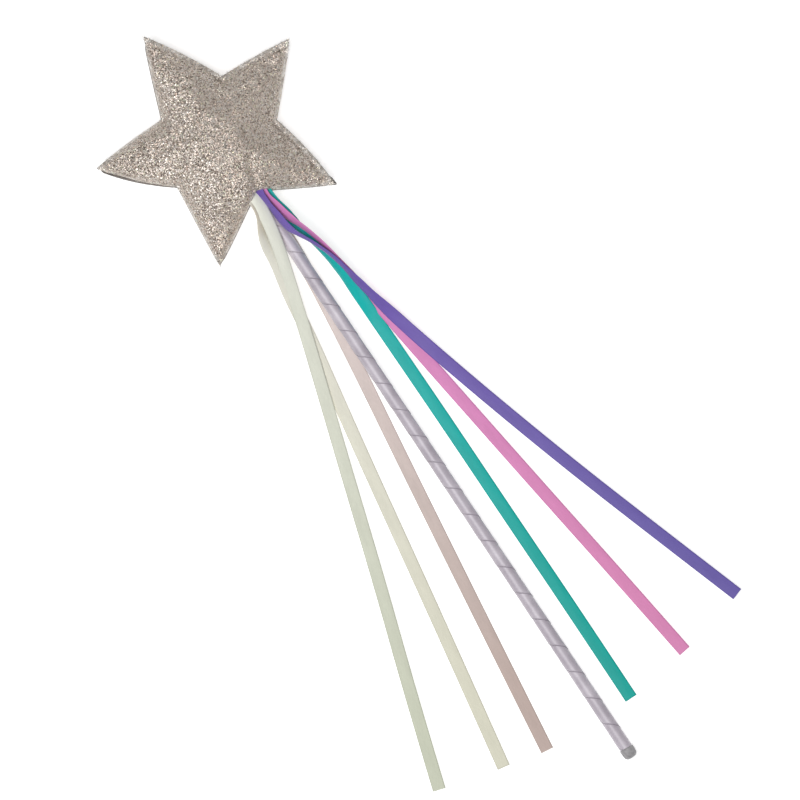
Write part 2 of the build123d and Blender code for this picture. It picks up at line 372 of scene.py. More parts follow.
def ribbon_mesh(name, line, rolls, crowns, painted_shades):
    """A strip of satin along a line, shaped by two tables of the distance along it, with painted shade from
    a third.
    """
    salt = hash_of(name)
    mesh = bmesh.new()
    tops, bottoms, marks = [], [], []
    distance = 0.0
    for number, centre in enumerate(line):
        before = line[max(number - 1, 0)]
        after = line[min(number + 1, len(line) - 1)]
        if number:
            distance += (centre - line[number - 1]).length
        tangent = (after - before).normalized()
        side = Vector((0, 0, 1)).cross(tangent).normalized()
        up = tangent.cross(side)
        angle = math.radians(between(rolls, distance / MM))
        turn = Matrix.Rotation(angle, 3, tangent)
        side, up = turn @ side, turn @ up
        lift = WAVER * (0.5 + 0.5 * noise.noise(Vector((distance / WAVER_LENGTH, 0, salt))))
        tops.append([])
        bottoms.append([])
        for step in range(ACROSS_STEPS + 1):
            u = 2 * step / ACROSS_STEPS - 1
            ripple = noise.noise(Vector((distance / RIPPLE_LENGTH, u, salt + 3))) * RIPPLE
            crown = between(crowns, distance / MM) * MM * (1 - u * u)
            cut = 0.0
            if number in (0, len(line) - 1):
                cut = RAGGED_CUT * noise.noise(Vector((u * 9, 0, salt)))
            place = centre + side * (u * RIBBON_WIDTH / 2) + up * (crown + ripple + lift) + tangent * cut
            tops[-1].append(mesh.verts.new(place + up * RIBBON_THICKNESS / 2))
            bottoms[-1].append(mesh.verts.new(place - up * RIBBON_THICKNESS / 2))
            # The third mark is 1 on the underside, and on the top it is the share of painted shade.
            marks += [(distance, u, between(painted_shades, distance / MM)), (distance, u, 1)]

    def wall(order, *ends):
        """One face between top and bottom, over two neighbouring points of the border."""
        (i, j), (k, m) = ends
        mesh.faces.new([tops[i][j], tops[k][m], bottoms[k][m], bottoms[i][j]][::order])

    for number in range(len(line) - 1):
        for step in range(ACROSS_STEPS):
            quad = [(number, step), (number + 1, step), (number + 1, step + 1), (number, step + 1)]
            mesh.faces.new([tops[i][j] for i, j in reversed(quad)])
            mesh.faces.new([bottoms[i][j] for i, j in quad])
        for step, order in ((0, 1), (ACROSS_STEPS, -1)):
            wall(order, (number, step), (number + 1, step))
    for number, order in ((0, -1), (len(line) - 1, 1)):
        for step in range(ACROSS_STEPS):
            wall(order, (number, step), (number, step + 1))
    bmesh.ops.recalc_face_normals(mesh, faces=mesh.faces)
    upper = {corner for row in tops for corner in row}
    walls = [0 < sum(corner in upper for corner in face.verts) < 4 for face in mesh.faces]
    made = mesh_of(name, mesh)
    made.attributes.new("wall", "BOOLEAN", "FACE").data.foreach_set("value", walls)
    for label, column in (("along", 0), ("across", 1), ("underside_and_painted_shade", 2)):
        attribute = made.attributes.new(label, "FLOAT", "POINT")
        attribute.data.foreach_set("value", [mark[column] for mark in marks])
    return made


SATIN_COLOURS = {
    "teal": (srgb(0, 168, 158), srgb(34, 188, 184)),
    "pink": (srgb(224, 138, 188), srgb(222, 140, 200)),
    "purple": (srgb(108, 94, 172), srgb(122, 98, 182)),
    "cream": (srgb(222, 220, 200), srgb(234, 232, 220)),
    "sage": (srgb(205, 209, 188), srgb(231, 232, 220)),
    "blush": (srgb(195, 175, 167), srgb(229, 218, 214)),
}

for colour, (heights, layer, plan) in ROUTES.items():
    lifts = LIFTS.get(colour, [0] * len(heights))
    points = [Vector((x, y, z + layer * LAYER + lift)) * MM
              for (x, y), z, lift in zip(plan, heights, lifts)]
    line = evenly(route_line(colour + "_route", points), ALONG_STEP)
    streamer = new_object(
        f"{colour}_streamer",
        ribbon_mesh(colour, line, ROLLS[colour], CROWNS[colour], PAINTED_ROOT_SHADES.get(colour, [(0, 0)])),
        satin(f"{colour}_satin_ribbon", *SATIN_COLOURS[colour]),
        f"streamer_{colour}")
    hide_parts(f"ribbon_{colour}")


# --- rod wrap ---
# One strip of satin wound left-handed. Each turn's lower edge lies over the turn that follows it.
WRAP_PITCH = 17.0 * MM
WRAP_OVERLAP = 1.6 * MM
WRAP_THICKNESS = 0.14 * MM
WRAP_SEAM_Y = -109.0 * MM  # where one seam crosses the top of the rod
WRAP_AROUND = 40
WRAP_ACROSS = 14
WRAP_FULLNESS = 1.05  # satin stands a little proud of the CAD's tight tube
WRAP_TUCK = 1.3  # how far a turn's tucked edge lies in, in thicknesses
WRAP_CREASE = 0.06 * MM
WRAP_WANDER = 0.04 * MM


def wrap_mesh():
    """The wound strip as a helical band, its outer edge standing one thickness proud."""
    mesh = bmesh.new()
    start = rod_low.y
    end = rod_high.y
    first_turn = math.floor((WRAP_SEAM_Y - end) / WRAP_PITCH) - 1
    last_turn = math.ceil((WRAP_SEAM_Y - start) / WRAP_PITCH) + 1
    basis = Matrix((Vector((1, 0, 0)), ROD_AXIS, Vector((1, 0, 0)).cross(ROD_AXIS))).transposed()
    rows = []
    seam = mesh.verts.layers.float.new("seam")
    for step in range(first_turn * WRAP_AROUND, last_turn * WRAP_AROUND + 1):
        turn = step / WRAP_AROUND
        angle = 2 * math.pi * turn
        seam_y = WRAP_SEAM_Y - WRAP_PITCH * turn
        row = []
        for across in range(WRAP_ACROSS + 1):
            share = across / WRAP_ACROSS
            y = seam_y + share * (WRAP_PITCH + WRAP_OVERLAP)
            y = min(max(y, start), end)
            crease = noise.noise(Vector((share * 2.5 + turn * 0.8, turn * 3.1, 5))) * WRAP_CREASE
            edge = WRAP_WANDER * noise.noise(Vector((turn * 5.0, share, 9)))
            tuck = WRAP_TUCK * WRAP_THICKNESS * share ** 0.8
            radius = WRAP_FULLNESS * WRAP_RADIUS - tuck + crease * (1 - share)
            centre = ROD_FOOT + ROD_AXIS * ((y + edge - ROD_FOOT.y) / ROD_AXIS.y)
            around = basis @ Vector((math.sin(angle) * radius, 0, math.cos(angle) * radius))
            corner = mesh.verts.new(centre + around)
            corner[seam] = 1.0 if across == 0 else 0.0
            row.append(corner)
        rows.append(row)
    for one, two in zip(rows, rows[1:]):
        for across in range(WRAP_ACROSS):
            corners = (one[across], two[across], two[across + 1], one[across + 1])
            spread = max((a.co - b.co).length for a in corners for b in corners)
            if min(abs(corners[0].co.y - corners[3].co.y), spread) > 0.05 * MM:
                mesh.faces.new(corners)
    bmesh.ops.delete(mesh, geom=[v for v in mesh.verts if not v.link_faces], context="VERTS")
    return mesh_of("wrap", mesh)


def wrap_material():
    graph = Graph("mauve_grey_satin", Roughness=0.46, Sheen_Weight=0.05, Sheen_Roughness=0.4,
                  Specular_IOR_Level=0.95, Anisotropic=0.4)
    slant = graph.node("Mapping", Vector=graph.place(), Rotation=(0, 0, math.radians(33)),
                       Scale=(900, 2600, 900)).outputs[0]
    fine = graph.noise(1.0, slant, Detail=3.0)
    soft = graph.noise(90.0, Detail=3.0)
    base = graph.ramp(soft, [(0.3, srgb(180, 171, 182)), (0.7, srgb(202, 194, 204))])
    shade = graph.ramp(fine, [(0.3, (0.9, 0.9, 0.9)), (0.7, (1.05, 1.05, 1.05))])
    cloth = graph.mix(1.0, base, shade, "MULTIPLY")
    # A dark line along each turn's lapping edge: painted shadow of the step where it lies over the next
    # turn.
    seam = graph.attribute("seam")
    near_seam = graph.math("MULTIPLY", graph.math("POWER", seam, 2.0), 0.75)
    graph.surface(Base_Color=graph.mix(near_seam, cloth, srgb(122, 112, 126)),
                  Normal=graph.bump(fine, 0.04 * MM, 0.6))
    return graph.material


wrap = new_object("rod_satin_wrap", wrap_mesh(), wrap_material(), "wand")
shell = wrap.modifiers.new("thickness", "SOLIDIFY")
shell.thickness = WRAP_THICKNESS
shell.offset = -1
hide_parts("rod_wrap")


# --- star: outline and sheets ---
# Cut outline: five tips and the notch that follows each, clockwise from the top point, in millimetres.
STAR_TIPS = [(-3.6, 67.4), (61.3, 22.7), (38.4, -56.4), (-37.9, -58.5), (-64.1, 22.1)]
STAR_NOTCHES = [(19.7, 26.0), (31.2, -9.9), (1.1, -35.5), (-33.3, -10.2), (-20.3, 24.3)]
# For each edge in the same order: how wide its seam allowance shows, and how far the edge bows out.
ALLOWANCES = [2.6, 2.8, 1.9, 3.0, 1.4, 1.3, 1.6, 1.1, 1.9, 1.5]
BOWS = [0.9, 0.5, 0.3, 1.3, 0.2, 0.2, 0.2, 1.7, 0.7, 0.2]
ALLOWANCE_CUT = 3.1  # width of the allowance itself: what doesn't show is turned down
CELL = 1.3  # spacing of the sheets' points
HALF_HEIGHT = 12.6
FULLNESS = 0.54  # lower is fuller towards the seam
SHEET_SPAN_X = (-70, 70)
SHEET_SPAN_Y = (-70, 75)
SHEET_GAP = 0.34  # half the gap between the sheets' mid surfaces at the seam
FABRIC = 0.55
LOWEST_CLOTH = 0.6  # the back sheet flattens where it rests on the table
MOUTH_HALF_WIDTH = 12.0
MOUTH_MIDDLE_X = 0.4
MOUTH_TOP_Y = -24  # the seam further up stays closed
MOUTH_RISE = {1: 9.6, -1: 7.4}  # of the front sheet and the back sheet
MOUTH_EDGES = (4, 5)  # the two edges that meet at the open notch
CREASE = [(1.5, -37.0), (5.0, -26.0), (9.0, -16.0)]
CREASE_DEPTH = 1.3
CREASE_WIDTH = 2.6
CREASE_ENDS_Y = (-42, -12)
CREASE_FADES = (8, 14)  # length over which it fades out at each end
CLOTH = {"quality": 6, "mass": 0.25, "tension_stiffness": 25, "compression_stiffness": 25,
         "shear_stiffness": 12, "bending_stiffness": 0.6, "use_pressure": True,
         "uniform_pressure_force": 4, "vertex_group_mass": "seam", "shrink_min": -0.012}
CLOTH_FRAMES = 20  # of the simulation that inflates the star
CLOTH_START = 0.92  # height that it starts from, as a share of the stuffed height
MOST_DRIFT = 1.6  # sideways movement that is kept from it
PUCKER = 0.22  # heights of the gathers at each stitch, the wrinkles and the lumps
WRINKLE = 0.35
LUMP = 0.45
# How far the back sheet's cut edge peeps out past the front sheet's, for each edge. Its material paints that
# strip near-black, as painted shadow.
PEEPS = [0, 0, 0, 0.1, 0.3, 0.3, 0.1, 0.75, 0.1, 0.35]
STITCH_PITCH = 3.2
STITCH_LENGTH = 2.5


def corners():
    """Tips and notches in turn."""
    return [Vector(point) for pair in zip(STAR_TIPS, STAR_NOTCHES) for point in pair]


def inset_corners():
    """Corners of the stitch line: each edge moved in by its own allowance."""
    outer = corners()
    lines = []
    for number, (a, b) in enumerate(in_turn(outer)):
        along = (b - a).normalized()
        inward = Vector((along.y, -along.x))
        lines.append((a + inward * ALLOWANCES[number], along))
    inner = []
    for number in range(len(lines)):
        (p, u), (q, v) = lines[number - 1], lines[number]
        share = ((q - p).x * v.y - (q - p).y * v.x) / (u.x * v.y - u.y * v.x)
        inner.append(p + u * share)
    return inner


def bowed_edges(points):
    """Each edge as evenly spaced points, bowed out in the middle, without its last point."""
    edges = []
    for number, (a, b) in enumerate(in_turn(points)):
        along = (b - a).normalized()
        outward = Vector((-along.y, along.x))
        count = round((b - a).length / CELL)
        edges.append([a.lerp(b, step / count) + outward * BOWS[number] * math.sin(math.pi * step / count)
                      for step in range(count)])
    return edges


def inside(point, outline):
    """Whether a point is inside a closed outline."""
    crossings = False
    for a, b in in_turn(outline):
        if (a.y > point.y) != (b.y > point.y):
            crossings ^= point.x < a.x + (point.y - a.y) / (b.y - a.y) * (b.x - a.x)
    return crossings


def mouth(x, y):
    """How far the sheets are pushed apart at a point of the seam, from 0 to 1."""
    if y > MOUTH_TOP_Y:
        return 0.0
    share = min(abs(x - MOUTH_MIDDLE_X) / MOUTH_HALF_WIDTH, 1)
    return (1 - share * share) ** 0.6


class Sheet:
    """The star's flat sheet: triangles, seam and allowance, and heights that a stuffed star takes."""

    def __init__(self):
        self.stitch_edges = bowed_edges(inset_corners())
        self.cut_edges = bowed_edges(corners())
        self.stitch_line = [p for edge in self.stitch_edges for p in edge]
        cut_line = [p for edge in self.cut_edges for p in edge]
        points = self.stitch_line + cut_line
        offset = len(self.stitch_line)
        loops = [*in_turn(list(range(offset))), *in_turn(list(range(offset, len(points))))]
        for number, (inner, outer) in enumerate(zip(self.stitch_edges, self.cut_edges)):
            for step in range(1, len(inner) - 1):
                share = step / len(inner)
                match = outer[min(round(share * len(outer)), len(outer) - 1)]
                points.append(inner[step].lerp(match, 0.5))
        row_height = CELL * math.sqrt(3) / 2
        columns = range(*(int(x / CELL) for x in SHEET_SPAN_X))
        for row in range(*(int(y / row_height) for y in SHEET_SPAN_Y)):
            for column in columns:
                point = Vector(((column + 0.5 * (row % 2)) * CELL, row * row_height))
                near = min((point - p).length_squared for p in self.stitch_line)
                if near > (0.7 * CELL) ** 2 and inside(point, self.stitch_line):
                    points.append(point)
        made = delaunay_2d_cdt(points, loops, [], 1, 1e-5)
        self.flat = [Vector(p) for p in made[0]]
        self.faces = [tuple(face) for face in made[2]]
        self.seam = set(range(offset))
        self.inner = [i for i, p in enumerate(self.flat)
                      if i not in self.seam and inside(p, self.stitch_line)]
        self.flange = [i for i in range(len(self.flat))
                       if i not in self.seam and i not in set(self.inner)]
        self.measure()
        self.solve()

    def cover_faces(self, rows):
        """Faces of a closed cover of both sheets. rows gives each point's number on each side."""
        return [tuple(rows[v, side] for v in face[::side]) for face in self.faces
                for side in (1, -1) if all((v, 1) in rows for v in face)]

    def measure(self):
        """For every point: its nearest stitch-line edge, distance from it and place along it."""
        self.nearest = []
        seam = np.array([(p.x, p.y) for p in self.stitch_line])
        labels = [(number, step * CELL) for number, edge in enumerate(self.stitch_edges)
                  for step in range(len(edge))]
        for point in self.flat:
            gaps = (seam[:, 0] - point.x) ** 2 + (seam[:, 1] - point.y) ** 2
            found = int(gaps.argmin())
            self.nearest.append((*labels[found], math.sqrt(gaps[found]), found))

    def solve(self):
        """Heights from the membrane equation, and how the mouth's opening spreads inward."""
        size = len(self.inner)
        place = {vertex: row for row, vertex in enumerate(self.inner)}
        links = {vertex: set() for vertex in self.inner}
        for face in self.faces:
            for one in face:
                if one in links:
                    links[one].update(other for other in face if other != one)
        matrix = np.zeros((size, size))
        right = np.zeros((size, 2))
        for vertex, row in place.items():
            matrix[row, row] = len(links[vertex])
            right[row, 0] = 1
            for other in links[vertex]:
                if other in place:
                    matrix[row, place[other]] = -1
                elif other in self.seam:
                    right[row, 1] += mouth(*self.flat[other])
                else:
                    matrix[row, row] -= 1
        result = np.linalg.solve(matrix, right)
        top = result[:, 0].max()
        self.dome = {v: HALF_HEIGHT * (result[r, 0] / top) ** FULLNESS for v, r in place.items()}
        self.opening = {v: result[r, 1] for v, r in place.items()}
        self.opening.update({v: mouth(*self.flat[v]) for v in self.seam})
        for vertex in self.flange:
            self.opening[vertex] = mouth(*self.flat[self.nearest[vertex][3]])


def stuff(sheet):
    """Inflates the two sheets as one closed cover, with the seam held, and returns each point's place."""
    rows = {}
    places = []
    for vertex in sheet.inner:
        for side in (1, -1):
            rows[vertex, side] = len(places)
            places.append((*sheet.flat[vertex], side * sheet.dome[vertex] * CLOTH_START))
    for vertex in sheet.seam:
        rows[vertex, 1] = rows[vertex, -1] = len(places)
        places.append((*sheet.flat[vertex], 0))
    mesh = bpy.data.meshes.new("cover")
    mesh.from_pydata([Vector(p) * MM for p in places], [], sheet.cover_faces(rows))
    cover = add_object("cover", mesh)
    held = cover.vertex_groups.new(name="seam")
    held.add([rows[v, 1] for v in sheet.seam], 1.0, "REPLACE")
    cloth = cover.modifiers.new("cloth", "CLOTH")
    for setting, value in CLOTH.items():
        setattr(cloth.settings, setting, value)
    cloth.settings.effector_weights.gravity = 0
    cloth.collision_settings.use_collision = False
    for number in range(1, CLOTH_FRAMES + 1):
        scene.frame_set(number)
    graph = bpy.context.evaluated_depsgraph_get()
    result = cover.evaluated_get(graph).to_mesh()
    moved = [vertex.co / MM for vertex in result.vertices]
    cover.evaluated_get(graph).to_mesh_clear()
    bpy.data.objects.remove(cover)
    bpy.data.meshes.remove(mesh)
    scene.frame_set(1)
    return {key: (Vector(places[row]), moved[row]) for key, row in rows.items()}


def crease(x, y):
    """Depth of the soft fold that runs up into the star from the mouth."""
    best = 1e9
    for (ax, ay), (bx, by) in zip(CREASE, CREASE[1:]):
        along = Vector((bx - ax, by - ay))
        share = unit(Vector((x - ax, y - ay)).dot(along) / along.length_squared)
        best = min(best, (Vector((x - ax, y - ay)) - along * share).length)
    low, high = CREASE_ENDS_Y
    fade = unit((y - low) / CREASE_FADES[0]) * unit((high - y) / CREASE_FADES[1])
    return CREASE_DEPTH * fade * math.exp(-(best / CREASE_WIDTH) ** 2)


def sheet_places(sheet, stuffed, side):
    """Final place of each point of one sheet: stuffed, drawn in by the stitches, open at the mouth."""
    tallest = max(abs(moved.z) for _, moved in stuffed.values())
    places = []
    for vertex, flat in enumerate(sheet.flat):
        edge, along, gap, near = sheet.nearest[vertex]
        if (vertex, side) in stuffed:
            start, moved = stuffed[vertex, side]
            shift = moved - start
            shift.z = 0
            shift *= min(1, MOST_DRIFT / max(shift.length, 1e-6))
            x, y = flat.x + shift.x, flat.y + shift.y
            height = abs(moved.z) * HALF_HEIGHT / tallest
        else:
            x, y, height = flat.x, flat.y, 0.0
        slack = 1 - min(1, sheet.opening[vertex] * 3)
        pucker = math.cos(2 * math.pi * along / STITCH_PITCH) * math.exp(-gap / 1.3)
        wrinkle = noise.noise(Vector((along / 4.5, edge * 7.3, side * 11))) * math.exp(-gap / 5.0)
        lumps = noise.noise(Vector((flat.x / 13, flat.y / 13, side * 5)))
        if vertex in sheet.dome:
            height += slack * (PUCKER * pucker + WRINKLE * wrinkle * min(gap / 2, 1))
            height += LUMP * lumps * min(gap / 9, 1)
            height -= crease(flat.x, flat.y) if side == 1 else 0
            height = max(height, 0.05)
        z = side * (height + SHEET_GAP + MOUTH_RISE[side] * sheet.opening[vertex])
        if vertex not in sheet.dome and vertex not in sheet.seam:
            z += allowance_drop(sheet, vertex, edge, along, gap)
            if side == -1:
                outward = (flat - sheet.flat[near]).normalized() * PEEPS[edge] * gap / ALLOWANCES[edge]
                x, y = x + outward.x, y + outward.y
        places.append(Vector((x, y, max(z + STAR_MID_Z / MM, LOWEST_CLOTH))))
    return places


def allowance_drop(sheet, vertex, edge, along, gap):
    """The allowance turns down where little of it shows, and waves a little where it lies flat."""
    shown = ALLOWANCES[edge]
    length = len(sheet.stitch_edges[edge]) * CELL
    clear = min(1, min(along, length - along) / 9)
    turned = math.sqrt(max(ALLOWANCE_CUT ** 2 - shown ** 2, 0)) * max(clear, 0)
    outward = min(gap / shown, 1)
    wave = 0.45 * noise.noise(Vector((along / 5.5, edge * 3.1, 2))) * (1 - 0.5 * sheet.opening[vertex])
    return outward * (wave - turned * outward)


GRAIN = 1850.0  # flakes to the metre, across the cloth


def glitter(name, wear_and_shadow_dark, wear_and_shadow_light):
    """Coarse glitter on cloth: flat flakes at random tilts. The rim takes the two colours given: bare
    backing where the front sheet's rim is worn, and painted shadow along the back sheet's rim.
    """
    graph = Graph(name, Roughness=0.42, Metallic=0.5, Specular_IOR_Level=0.5)
    place = graph.place()
    coarse, pick = graph.cells(place, GRAIN)
    second = graph.cells(place, 1.4 * GRAIN)[1]
    body = graph.ramp(pick[0], [(0.0, srgb(60, 48, 42)), (0.25, srgb(140, 124, 114)),
                                (0.48, srgb(222, 208, 196)), (0.7, srgb(255, 249, 242)),
                                (1.0, srgb(255, 255, 252))])
    dust = graph.ramp(second[0], [(0.0, srgb(100, 87, 80)), (0.45, srgb(192, 178, 169)),
                                  (0.8, srgb(236, 225, 216)), (1.0, srgb(255, 250, 244))])
    colour = graph.mix(0.25, body, dust)
    tint = graph.ramp(pick[1], [(0.0, (1.0, 0.95, 0.90)), (0.3, (1.0, 0.98, 0.97)), (0.6, (1.0, 0.94, 0.94)),
                                (0.85, (0.97, 1.0, 0.93)), (1.0, (1.0, 0.96, 0.84))])
    colour = graph.mix(1.0, colour, tint, "MULTIPLY")
    # The flakes' edges are darkened: painted shade in the gaps between them.
    gaps = graph.node("TexVoronoi", {"feature": "DISTANCE_TO_EDGE"}, Vector=place, Scale=GRAIN)
    dark = graph.ramp(gaps.outputs["Distance"], [(0.0, (0.55, 0.52, 0.50)), (0.12, (1, 1, 1))])
    colour = graph.mix(0.7, colour, dark, "MULTIPLY")
    # Towards the cut edge the colour goes to the rim colours: rubbed-off glitter on the front sheet, painted
    # shadow on the back sheet.
    wear_and_shadow = graph.attribute("rim")
    patchy = graph.noise(420.0, place, Detail=3.0)
    backing = graph.ramp(patchy, [(0.35, wear_and_shadow_dark), (0.6, wear_and_shadow_light)])
    colour = graph.mix(graph.math("MULTIPLY", wear_and_shadow, 0.8), colour, backing)
    tilt = graph.math("SUBTRACT", coarse, (0.5, 0.5, 0.5), kind="VectorMath")
    normal = graph.node("NewGeometry").outputs["Normal"]
    leaning = graph.math("MULTIPLY_ADD", tilt, (1.1, 1.1, 1.1), normal, kind="VectorMath")
    facet = graph.math("NORMALIZE", leaning, kind="VectorMath")
    shine = graph.ramp(second[1], [(0.0, (0.26,) * 3), (0.6, (0.38,) * 3), (1.0, (0.6,) * 3)])
    graph.surface(Base_Color=colour, Roughness=shine,
                  Normal=graph.bump(gaps.outputs["Distance"], 0.2 * MM, 0.5, facet))
    return graph.material


def rim_share(sheet, vertex):
    """1 out at the cut edge and 0 from the stitch line inward: where glitter has rubbed off on the front
    sheet, and where shadow is painted on the back sheet.
    """
    if vertex in sheet.seam or vertex in sheet.dome:
        return 0.0
    edge, along, gap, near = sheet.nearest[vertex]
    return min(1, 1.6 * gap / ALLOWANCES[edge])


sheet = Sheet()
stuffed = stuff(sheet)
# The back sheet's rim colours are near-black: a painted shadow line where its allowance peeps out.
cloths = {1: glitter("champagne_glitter", srgb(176, 168, 160), srgb(240, 236, 230)),
          -1: glitter("champagne_glitter_back_painted_rim_shadow", srgb(44, 39, 37), srgb(84, 76, 71))}
star_places = {}
for side, name, node in ((1, "star_front", "star_front_panel"), (-1, "star_back", "star_back_panel")):
    star_places[side] = sheet_places(sheet, stuffed, side)
    mesh = bpy.data.meshes.new(name)
    mesh.from_pydata([place * MM for place in star_places[side]], [], [face[::side] for face in sheet.faces])
    rim = mesh.attributes.new("rim", "FLOAT", "POINT")
    rim.data.foreach_set("value", [rim_share(sheet, vertex) for vertex in range(len(sheet.flat))])
    panel = new_object(name, mesh, cloths[side], "wand")
    smooth = panel.modifiers.new("smooth", "SUBSURF")
    smooth.levels = smooth.render_levels = 1
    thick = panel.modifiers.new("thickness", "SOLIDIFY")
    thick.thickness = FABRIC * MM
    thick.offset = 0
    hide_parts(node)


# --- star: filling, thread, frayed edge and loose flakes ---
FILLING_CLEARANCE = 0.9


def filling_mesh():
    """The stuffing as one closed lump, a little smaller than the cover and flat behind the mouth."""
    rows, places = {}, []
    for vertex in sheet.inner:
        edge, along, gap, near = sheet.nearest[vertex]
        if gap < 1.6:
            continue
        for side in (1, -1):
            place = star_places[side][vertex].copy()
            middle = STAR_MID_Z / MM
            height = max(abs(place.z - middle) - FILLING_CLEARANCE, 0.3)
            rows[vertex, side] = len(places)
            tuft = 0.35 * noise.noise(place / 3)
            height = max(0.3, height - 0.35 + tuft) * min(1, (gap - 1.2) / 2)
            if place.y < -20:
                height *= max(0, 1 - sheet.opening[vertex] * 2)
            places.append((place.x, place.y, middle + side * height))
    mesh = bpy.data.meshes.new("filling")
    mesh.from_pydata([Vector(p) * MM for p in places], [], sheet.cover_faces(rows))
    work = bmesh.new()
    work.from_mesh(mesh)
    bmesh.ops.holes_fill(work, edges=[e for e in work.edges if e.is_boundary], sides=0)
    work.to_mesh(mesh)
    work.free()
    return mesh


def skin(mesh, rings):
    """A closed skin over rings of corners, capped at both ends."""
    for one, two in zip(rings, rings[1:]):
        for i in range(len(one)):
            after = (i + 1) % len(one)
            mesh.faces.new((one[i], one[after], two[after], two[i]))
    mesh.faces.new(rings[0][::-1])
    mesh.faces.new(rings[-1])


def tube(mesh, points, radii, sides=6):
    """A closed round thread through a short list of points, with a radius for each."""
    rings = []
    for number, point in enumerate(points):
        tangent = (points[min(number + 1, len(points) - 1)] - points[max(number - 1, 0)]).normalized()
        across = tangent.cross(Vector((0.13, 0.21, 0.97))).normalized()
        up = tangent.cross(across)
        rings.append([mesh.verts.new(point + (across * math.cos(a) + up * math.sin(a)) * radii[number])
                      for a in (2 * math.pi * i / sides for i in range(sides))])
    skin(mesh, rings)


def finished(name, mesh, material, node):
    """Turns a bmesh in millimetres into a piece of the wand, which may replace a CAD node."""
    bmesh.ops.recalc_face_normals(mesh, faces=mesh.faces)
    bmesh.ops.scale(mesh, vec=Vector((MM, MM, MM)), verts=mesh.verts)
    piece = new_object(name, mesh_of(name, mesh), material, "wand")
    if node:
        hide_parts(node)


def thread_material():
    graph = Graph("seam_thread", Roughness=0.55, Sheen_Weight=0.2)
    ply = graph.node("TexWave", {"bands_direction": "DIAGONAL"}, Vector=graph.place(), Scale=900.0,
                     Distortion=1.5).outputs["Fac"]
    return graph.grained(ply, [(0.2, srgb(176, 162, 152)), (0.8, srgb(222, 212, 203))], 0.08)


THREAD_RADIUS = 0.17
MOUTH_MIDDLE = Vector((MOUTH_MIDDLE_X, -35))
STUFFING_HOLE = 15  # machine stitches stop this far from the mouth's middle
WHIP_STITCHES = 4  # hand stitches on each side of the mouth
WHIP_START = 11.0  # first one's distance from the notch
WHIP_PITCH = 2.4
WHIP_STEPS = 12
MOUTH_EDGE_LENGTH = 40
thread = thread_material()


def whole_edge(edges, edge):
    """One edge's points and its end, which is the next edge's first point."""
    return edges[edge] + [edges[(edge + 1) % len(edges)][0]]


def seam_point(edge, share, side, lift):
    """A point of the stitch line, just above one sheet."""
    points = whole_edge(sheet.stitch_edges, edge)
    where = share * (len(points) - 1)
    index = min(int(where), len(points) - 2)
    flat = points[index].lerp(points[index + 1], where - index)
    height = SHEET_GAP + FABRIC / 2 + lift + MOUTH_RISE[side] * mouth(flat.x, flat.y)
    return Vector((*flat, STAR_MID_Z / MM + side * height))


def row_of_stitches(side):
    """Machine stitches along every edge, up to the part that was left open for stuffing."""
    mesh = bmesh.new()
    for edge in range(len(sheet.stitch_edges)):
        length = len(sheet.stitch_edges[edge]) * CELL
        count = round(length / STITCH_PITCH)
        for number in range(count):
            middle = (number + 0.5) / count
            half = STITCH_LENGTH / 2 / length
            centre = seam_point(edge, middle, side, 0)
            if edge in MOUTH_EDGES and (centre.xy - MOUTH_MIDDLE).length < STUFFING_HOLE:
                continue
            steps = [-1, -0.85, -0.4, 0, 0.4, 0.85, 1]
            lifts = [-0.35, 0.02, 0.14, 0.17, 0.14, 0.02, -0.35]
            sway = random.uniform(-0.12, 0.12)
            points = [seam_point(edge, middle + half * s, side, lift) + Vector((sway * s, -sway * s, 0))
                      for s, lift in zip(steps, lifts)]
            tube(mesh, points, [THREAD_RADIUS] * len(points))
    return mesh


finished("needle_thread_stitches", row_of_stitches(1), thread, "needle_thread")
finished("bobbin_thread_stitches", row_of_stitches(-1), thread, "bobbin_thread")


def whip_stitches():
    """Slanted hand stitches over the cut edge on both sides of the rod, where the stuffing hole closes."""
    mesh = bmesh.new()
    for edge in MOUTH_EDGES:
        inner = whole_edge(sheet.stitch_edges, edge)
        outer = whole_edge(sheet.cut_edges, edge)
        for number in range(WHIP_STITCHES):
            away = (WHIP_START + WHIP_PITCH * number) / MOUTH_EDGE_LENGTH
            share = 1 - away if edge == MOUTH_EDGES[0] else away
            spot = inner[int(share * (len(inner) - 1))]
            rim = outer[int(share * (len(outer) - 1))]
            along = (inner[-1] - inner[0]).normalized()
            out = (rim - spot).normalized()
            points = []
            for step in range(WHIP_STEPS + 1):
                turn = 2 * math.pi * step / WHIP_STEPS
                reach = 0.5 - 0.5 * math.cos(turn)
                level = 1.25 * math.sin(turn)
                drop = -2.4 * reach ** 2
                place = spot + out * (reach * ((rim - spot).length + 0.5) - 0.3)
                place += along * (0.9 * step / WHIP_STEPS)
                points.append(Vector((*place, STAR_MID_Z / MM + level + drop)))
            tube(mesh, points, [THREAD_RADIUS] * len(points))
    return mesh


finished("closing_whip_stitches", whip_stitches(), thread, "notch_closing_stitches")


FLAKES = 11000  # on each sheet
FLAKE_RADII = (0.13, 0.24)
FLAKE_TILT = 0.3
FLAKE_CLEARANCE = 0.10  # above the cloth


def flake(mesh, place, normal, size):
    """One six-sided flake of glitter, lying on the cloth at a slight tilt."""
    tilt = Vector([random.uniform(-1, 1) for _ in range(3)])
    up = (normal + tilt * FLAKE_TILT).normalized()
    side = up.orthogonal().normalized()
    other = up.cross(side)
    spin = random.uniform(0, math.pi)
    ring = [mesh.verts.new(place + (side * math.cos(spin + i * math.pi / 3)
                                    + other * math.sin(spin + i * math.pi / 3)) * size) for i in range(6)]
    mesh.faces.new(ring)


